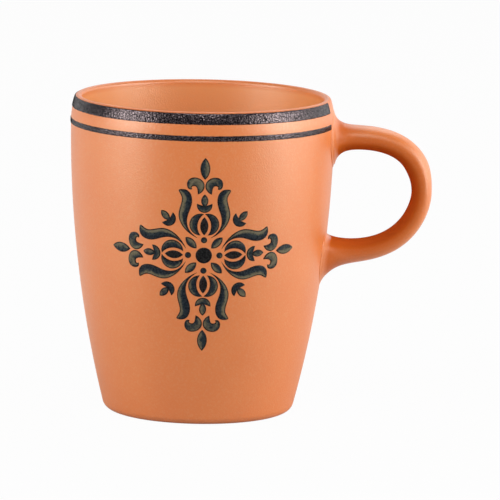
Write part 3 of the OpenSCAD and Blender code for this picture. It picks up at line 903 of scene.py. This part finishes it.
class CUP_OT_handle(Operator):
    """Draw the handle and spread its two joints on the wall"""

    bl_idname = "cup.handle"
    bl_label = "Handle"

    def execute(self, context):
        scene = context.scene
        wall = WallLine(scene.cup_body)
        verts, faces = handle_mesh(scene.cup_handle, wall)
        handle = add_piece("handle_clay", verts, faces, clay(scene.cup_finish), "terracotta_clay", "handle")
        x, y, z = np.array(verts).T
        outward = np.cos(2 * math.pi * np.arange(len(verts)) / HANDLE_RING_POINTS)
        clear = (np.hypot(x, y) - wall.radius(z)) / MM
        # painted shade: the handle's inner side and its joints get the darker clay and lose gloss, standing
        # for the shade that falls there
        inner_side_shade = np.clip((SHADE_START - outward) / SHADE_CHANGE, 0, 1)
        joint = np.clip(JOINT_SHADE - clear / JOINT_RUN_MM, 0, 1)
        mark_points(handle, thin=np.maximum(inner_side_shade, joint) * np.clip(clear / SHADE_GROW_MM, 0, 1))
        return {"FINISHED"}


class CUP_OT_bands(Operator):
    """Brush the wide and the narrow enamel band"""

    bl_idname = "cup.bands"
    bl_label = "Enamel Bands"

    def execute(self, context):
        scene = context.scene
        wall = WallLine(scene.cup_body)
        enamel = band_material(scene.cup_finish)
        for node, low, high in (("rim_band", BAND_LOW, BAND_HIGH), ("lower_band", NARROW_LOW, NARROW_HIGH)):
            verts, faces = band_mesh(scene.cup_bands, wall, low.z, high.z, BAND_POINTS_ACROSS[node])
            add_piece(node + "_enamel", verts, faces, enamel, "dark_enamel", node)
        return {"FINISHED"}


class CUP_OT_medallion_heart(Operator):
    """Paint the round centre, its beads and the centre leaves"""

    bl_idname = "cup.medallion_heart"
    bl_label = "Medallion Heart"

    def execute(self, context):
        s = context.scene.cup_medallion
        centre = Shape(circle(s.centre_r), base=0.1, gain=0.1)
        bead = Shape(circle(s.bead_r, steps=40), light=(0.7, -0.7), base=0.35)
        turns = [k * math.pi / 2 for k in range(4)]
        beads = [bead.moved(s.bead_at * math.sin(a), s.bead_at * math.cos(a)) for a in turns]
        leaf = Shape(almond(s.centre_leaf_l, s.centre_leaf_w), light=(1, 0), base=0.65, gain=0.4)
        paint_pieces(context.scene, (
            ("medallion_centre", [centre], seed_paint, 1),
            ("medallion_beads", beads, petal_paint, 2),
            ("centre_leaves", round_arms(leaf, s.centre_leaf_at, 4, math.pi / 4), petal_paint, 3),
        ))
        return {"FINISHED"}


class CUP_OT_medallion_tulips(Operator):
    """Paint the four tulips: seeds, inner petals and curled outer petals"""

    bl_idname = "cup.medallion_tulips"
    bl_label = "Medallion Tulips"

    def execute(self, context):
        s = context.scene.cup_medallion
        seed = Shape(almond(s.seed_l, s.seed_w), light=(1, 0), base=0.55, gain=0.3)
        seed_r = (s.seed_l**2 + s.seed_w**2) / (4 * s.seed_w)
        hollow = (-(s.inner_petal_x + seed_r - s.seed_w / 2), s.seed_at - s.inner_petal_at)
        inner = crescent(s.inner_petal_r, hollow, seed_r + s.seed_gap)
        inner = Shape(inner, light=(1, 0), base=0.32, gain=0.65)
        outer = curved(OUTER_PETAL_SHARES, s.outer_petal_w, s.outer_petal_l)
        outer = Shape(outer, light=(1, 0), base=0.42, gain=0.75)
        paint_pieces(context.scene, (
            ("tulip_seeds", round_arms(seed, s.seed_at), seed_paint, 4),
            ("inner_petals", on_both_sides(inner, s.inner_petal_x, s.inner_petal_at), petal_paint, 5),
            ("outer_petals", on_both_sides(outer, s.outer_petal_x, s.outer_petal_at), petal_paint, 6),
        ))
        return {"FINISHED"}


class CUP_OT_medallion_sprigs(Operator):
    """Paint the buds, the hooks and the tip leaves"""

    bl_idname = "cup.medallion_sprigs"
    bl_label = "Medallion Sprigs"

    def execute(self, context):
        s = context.scene.cup_medallion
        grey, blue = (
            Shape(bud_bowl(s.bud_r), light=(0, -1), base=base, gain=0.35, lift=0.85) for base in (0.55, 0.28))
        leaf = almond(s.bud_leaf_l, s.bud_leaf_w) + (0, BUD_LEAF_RISE_SHARE * s.bud_leaf_l)
        leaf = Shape(leaf, light=(0.7, 0.7), base=0.68, gain=0.3)
        buds = (
            round_arms(grey, s.bud_at) + round_arms(blue, s.bud_at, 4, math.pi / 4)
            + round_arms(leaf, s.bud_at, 8))
        hook = Shape(curved(HOOK_SHARES, s.hook_w, s.hook_h), light=(-1, 0.2), base=0.66, gain=0.3)
        tip = Shape(almond(s.tip_leaf_l, s.tip_leaf_w), light=(0.8, 0.6), base=0.6, gain=0.45)
        paint_pieces(context.scene, (
            ("buds", buds, petal_paint, 7),
            ("hooks", on_both_sides(hook, s.hook_x, s.hook_at), petal_paint, 8),
            ("tip_leaves", round_arms(tip, s.reach - s.tip_leaf_l / 2), petal_paint, 9),
        ))
        return {"FINISHED"}


# part of a side softbox's power that comes from its brighter core
CORE_SHARE = 0.25


class CUP_OT_stage(Operator):
    """Set the table, the camera and the softboxes"""

    bl_idname = "cup.stage"
    bl_label = "Studio"

    def execute(self, context):
        scene = context.scene
        s = scene.cup_studio
        scene.view_settings.view_transform = "Standard"
        add_table(s)
        add_camera(scene, s)
        middle, rest = Vector((0, 0, s.look_height)), 1 - CORE_SHARE
        # azimuth and elevation in degrees, distance, width and height in metres, power in watts
        for name, azimuth, elevation, away, wide, high, power in (
            ("softbox_right", 77, 14, 1.0, 1.25, 1.0, rest * s.right_power),
            ("softbox_right_core", 71, 14, 0.98, 0.36, 0.6, CORE_SHARE * s.right_power),
            ("softbox_left", -70, 14, 1.0, 0.8, 1.0, rest * s.left_power),
            ("softbox_left_core", -65, 14, 0.98, 0.3, 0.6, CORE_SHARE * s.left_power),
            ("softbox_right_edge", 120, 16, 1.0, 0.8, 1.0, s.edge_power),
            ("softbox_high", 0, 50, 1.0, 0.5, 0.5, s.high_power),
            ("softbox_rear", 172, 42, 1.2, 0.7, 0.7, s.rear_power),
        ):
            add_softbox(name, middle, azimuth, elevation, away, wide, high, power)
        add_room(scene, s)
        return {"FINISHED"}


# how far out to the sides the glaze mirrors the white background, against straight behind the cup
SIDEWAYS_SHARE = 0.4
# where that white starts and is full: on the table in metres behind the cup, and in the room's
# directions, where 1 is straight behind it
TABLE_FADE = (-0.05, 0.2)
ROOM_FADE = (0.75, 0.95)


def sees_background(tree, way, start, end):
    """Where a ray sees the plain white background instead of the studio's own light: everywhere from
    the camera, and in the glaze's reflections behind the cup and, less readily, out to its sides."""
    path = add_node(tree, "ShaderNodeLightPath").outputs
    bounced = add_node(tree, "ShaderNodeMath", {0: path["Is Glossy Ray"], 1: path["Is Transmission Ray"]},
                       operation="MAXIMUM")
    axes = add_node(tree, "ShaderNodeSeparateXYZ", {0: way}).outputs
    sideways = add_node(tree, "ShaderNodeMath", {0: axes["X"]}, operation="ABSOLUTE")
    reach = add_node(tree, "ShaderNodeMath", {0: sideways.outputs[0], 2: axes["Y"]}, {1: SIDEWAYS_SHARE},
                     operation="MULTIPLY_ADD")
    backdrop = add_node(tree, "ShaderNodeMapRange", {"Value": reach.outputs[0]},
                        {"From Min": start, "From Max": end, "To Min": 0, "To Max": 1})
    mirrored = add_node(tree, "ShaderNodeMath", {0: bounced.outputs[0], 1: backdrop.outputs["Result"]},
                        operation="MULTIPLY")
    return add_node(tree, "ShaderNodeMath", {0: path["Is Camera Ray"], 1: mirrored.outputs[0]},
                    operation="MAXIMUM")


def add_table(s):
    """A plain white table that keeps the cup's soft shadow."""
    mesh = bpy.data.meshes.new("table")
    side = 8.0
    mesh.from_pydata(
        [(-side, -side, 0), (side, -side, 0), (side, side, 0), (-side, side, 0)], [], [(0, 1, 2, 3)])
    material, tree = new_material("Table, matt white board")
    place = add_node(tree, "ShaderNodeTexCoord")
    seen = sees_background(tree, place.outputs["Object"], *TABLE_FADE)
    # a small part of the board's own light stays, and with it the cup's shadow
    part = add_node(tree, "ShaderNodeMath", {0: seen.outputs[0]}, {1: s.table_white}, operation="MULTIPLY")
    board = add_node(tree, "ShaderNodeBsdfDiffuse", inputs={"Color": rgba(s.board)})
    white = add_node(tree, "ShaderNodeEmission", inputs={"Color": WHITE, "Strength": 1.0})
    mix = add_node(tree, "ShaderNodeMixShader",
                   {0: part.outputs[0], 1: board.outputs[0], 2: white.outputs[0]})
    add_node(tree, "ShaderNodeOutputMaterial", {"Surface": mix.outputs[0]})
    mesh.materials.append(material)
    table = add_object("table", mesh)


def toward(azimuth, elevation):
    """The way from the cup to something that stands at these angles round it."""
    level = math.cos(elevation)
    return Vector((math.sin(azimuth) * level, -math.cos(azimuth) * level, math.sin(elevation)))


def add_camera(scene, s):
    back = toward(s.azimuth, s.elevation)
    right = Vector((math.cos(s.azimuth), math.sin(s.azimuth), 0))
    up = back.cross(right)
    x = math.cos(s.roll) * right + math.sin(s.roll) * up
    y = math.cos(s.roll) * up - math.sin(s.roll) * right
    at = right * s.aside + Vector((0, 0, s.look_height)) + back * s.distance
    data = bpy.data.cameras.new("camera")
    data.lens, data.sensor_width = s.lens, 36
    data.clip_start, data.clip_end = 0.05, 50
    scene.camera = add_object("camera", data)
    scene.camera.matrix_world = Matrix((
        (x.x, y.x, back.x, at.x), (x.y, y.y, back.y, at.y), (x.z, y.z, back.z, at.z), (0, 0, 0, 1)))


def add_softbox(name, middle, azimuth, elevation, away, wide, high, power):
    out = toward(math.radians(azimuth), math.radians(elevation))
    data = bpy.data.lights.new(name, "AREA")
    data.shape, data.size, data.size_y, data.energy = "RECTANGLE", wide, high, power
    lamp = add_object(name, data)
    lamp.location = middle + out * away
    lamp.rotation_mode = "QUATERNION"
    lamp.rotation_quaternion = out.to_track_quat("Z", "Y")


def add_room(scene, s):
    """A dim room. The camera sees white on every side of it, and the glaze only behind the cup and,
    less so, out to its sides."""
    scene.world = bpy.data.worlds.new("room")
    tree = empty_tree(scene.world)
    way = add_node(tree, "ShaderNodeTexCoord")
    seen = sees_background(tree, way.outputs["Generated"], *ROOM_FADE)
    dim = add_node(tree, "ShaderNodeBackground", inputs={"Color": WHITE, "Strength": s.sky})
    white = add_node(tree, "ShaderNodeBackground", inputs={"Color": WHITE, "Strength": 1.0})
    mix = add_node(tree, "ShaderNodeMixShader", {0: seen.outputs[0], 1: dim.outputs[0], 2: white.outputs[0]})
    add_node(tree, "ShaderNodeOutputWorld", {"Surface": mix.outputs[0]})


class VIEW3D_PT_cup(Panel):
    bl_label = "Terracotta Cup"
    bl_space_type = "VIEW_3D"
    bl_region_type = "UI"
    bl_category = "Cup"

    def draw(self, context):
        for operator in OPERATORS:
            self.layout.operator(operator.bl_idname)


OPERATORS = (
    CUP_OT_body, CUP_OT_handle, CUP_OT_bands, CUP_OT_medallion_heart, CUP_OT_medallion_tulips,
    CUP_OT_medallion_sprigs, CUP_OT_stage,
)
SETTINGS = {
    "cup_body": CupBodySizes, "cup_handle": CupHandleSizes, "cup_bands": CupBandSizes,
    "cup_medallion": CupMedallionSizes, "cup_finish": CupFinish, "cup_studio": CupStudio,
}


def register():
    for key, group in SETTINGS.items():
        bpy.utils.register_class(group)
        setattr(bpy.types.Scene, key, PointerProperty(type=group))
    for cls in (*OPERATORS, VIEW3D_PT_cup):
        bpy.utils.register_class(cls)


def unregister():
    for cls in (VIEW3D_PT_cup, *reversed(OPERATORS)):
        bpy.utils.unregister_class(cls)
    for key, group in SETTINGS.items():
        delattr(bpy.types.Scene, key)
        bpy.utils.unregister_class(group)


def main():
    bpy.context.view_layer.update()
    register()
    bpy.ops.cup.stage()
    bpy.ops.cup.body()
    bpy.ops.cup.handle()
    bpy.ops.cup.bands()
    bpy.ops.cup.medallion_heart()
    bpy.ops.cup.medallion_tulips()
    bpy.ops.cup.medallion_sprigs()


if __name__ == "__main__":
    main()
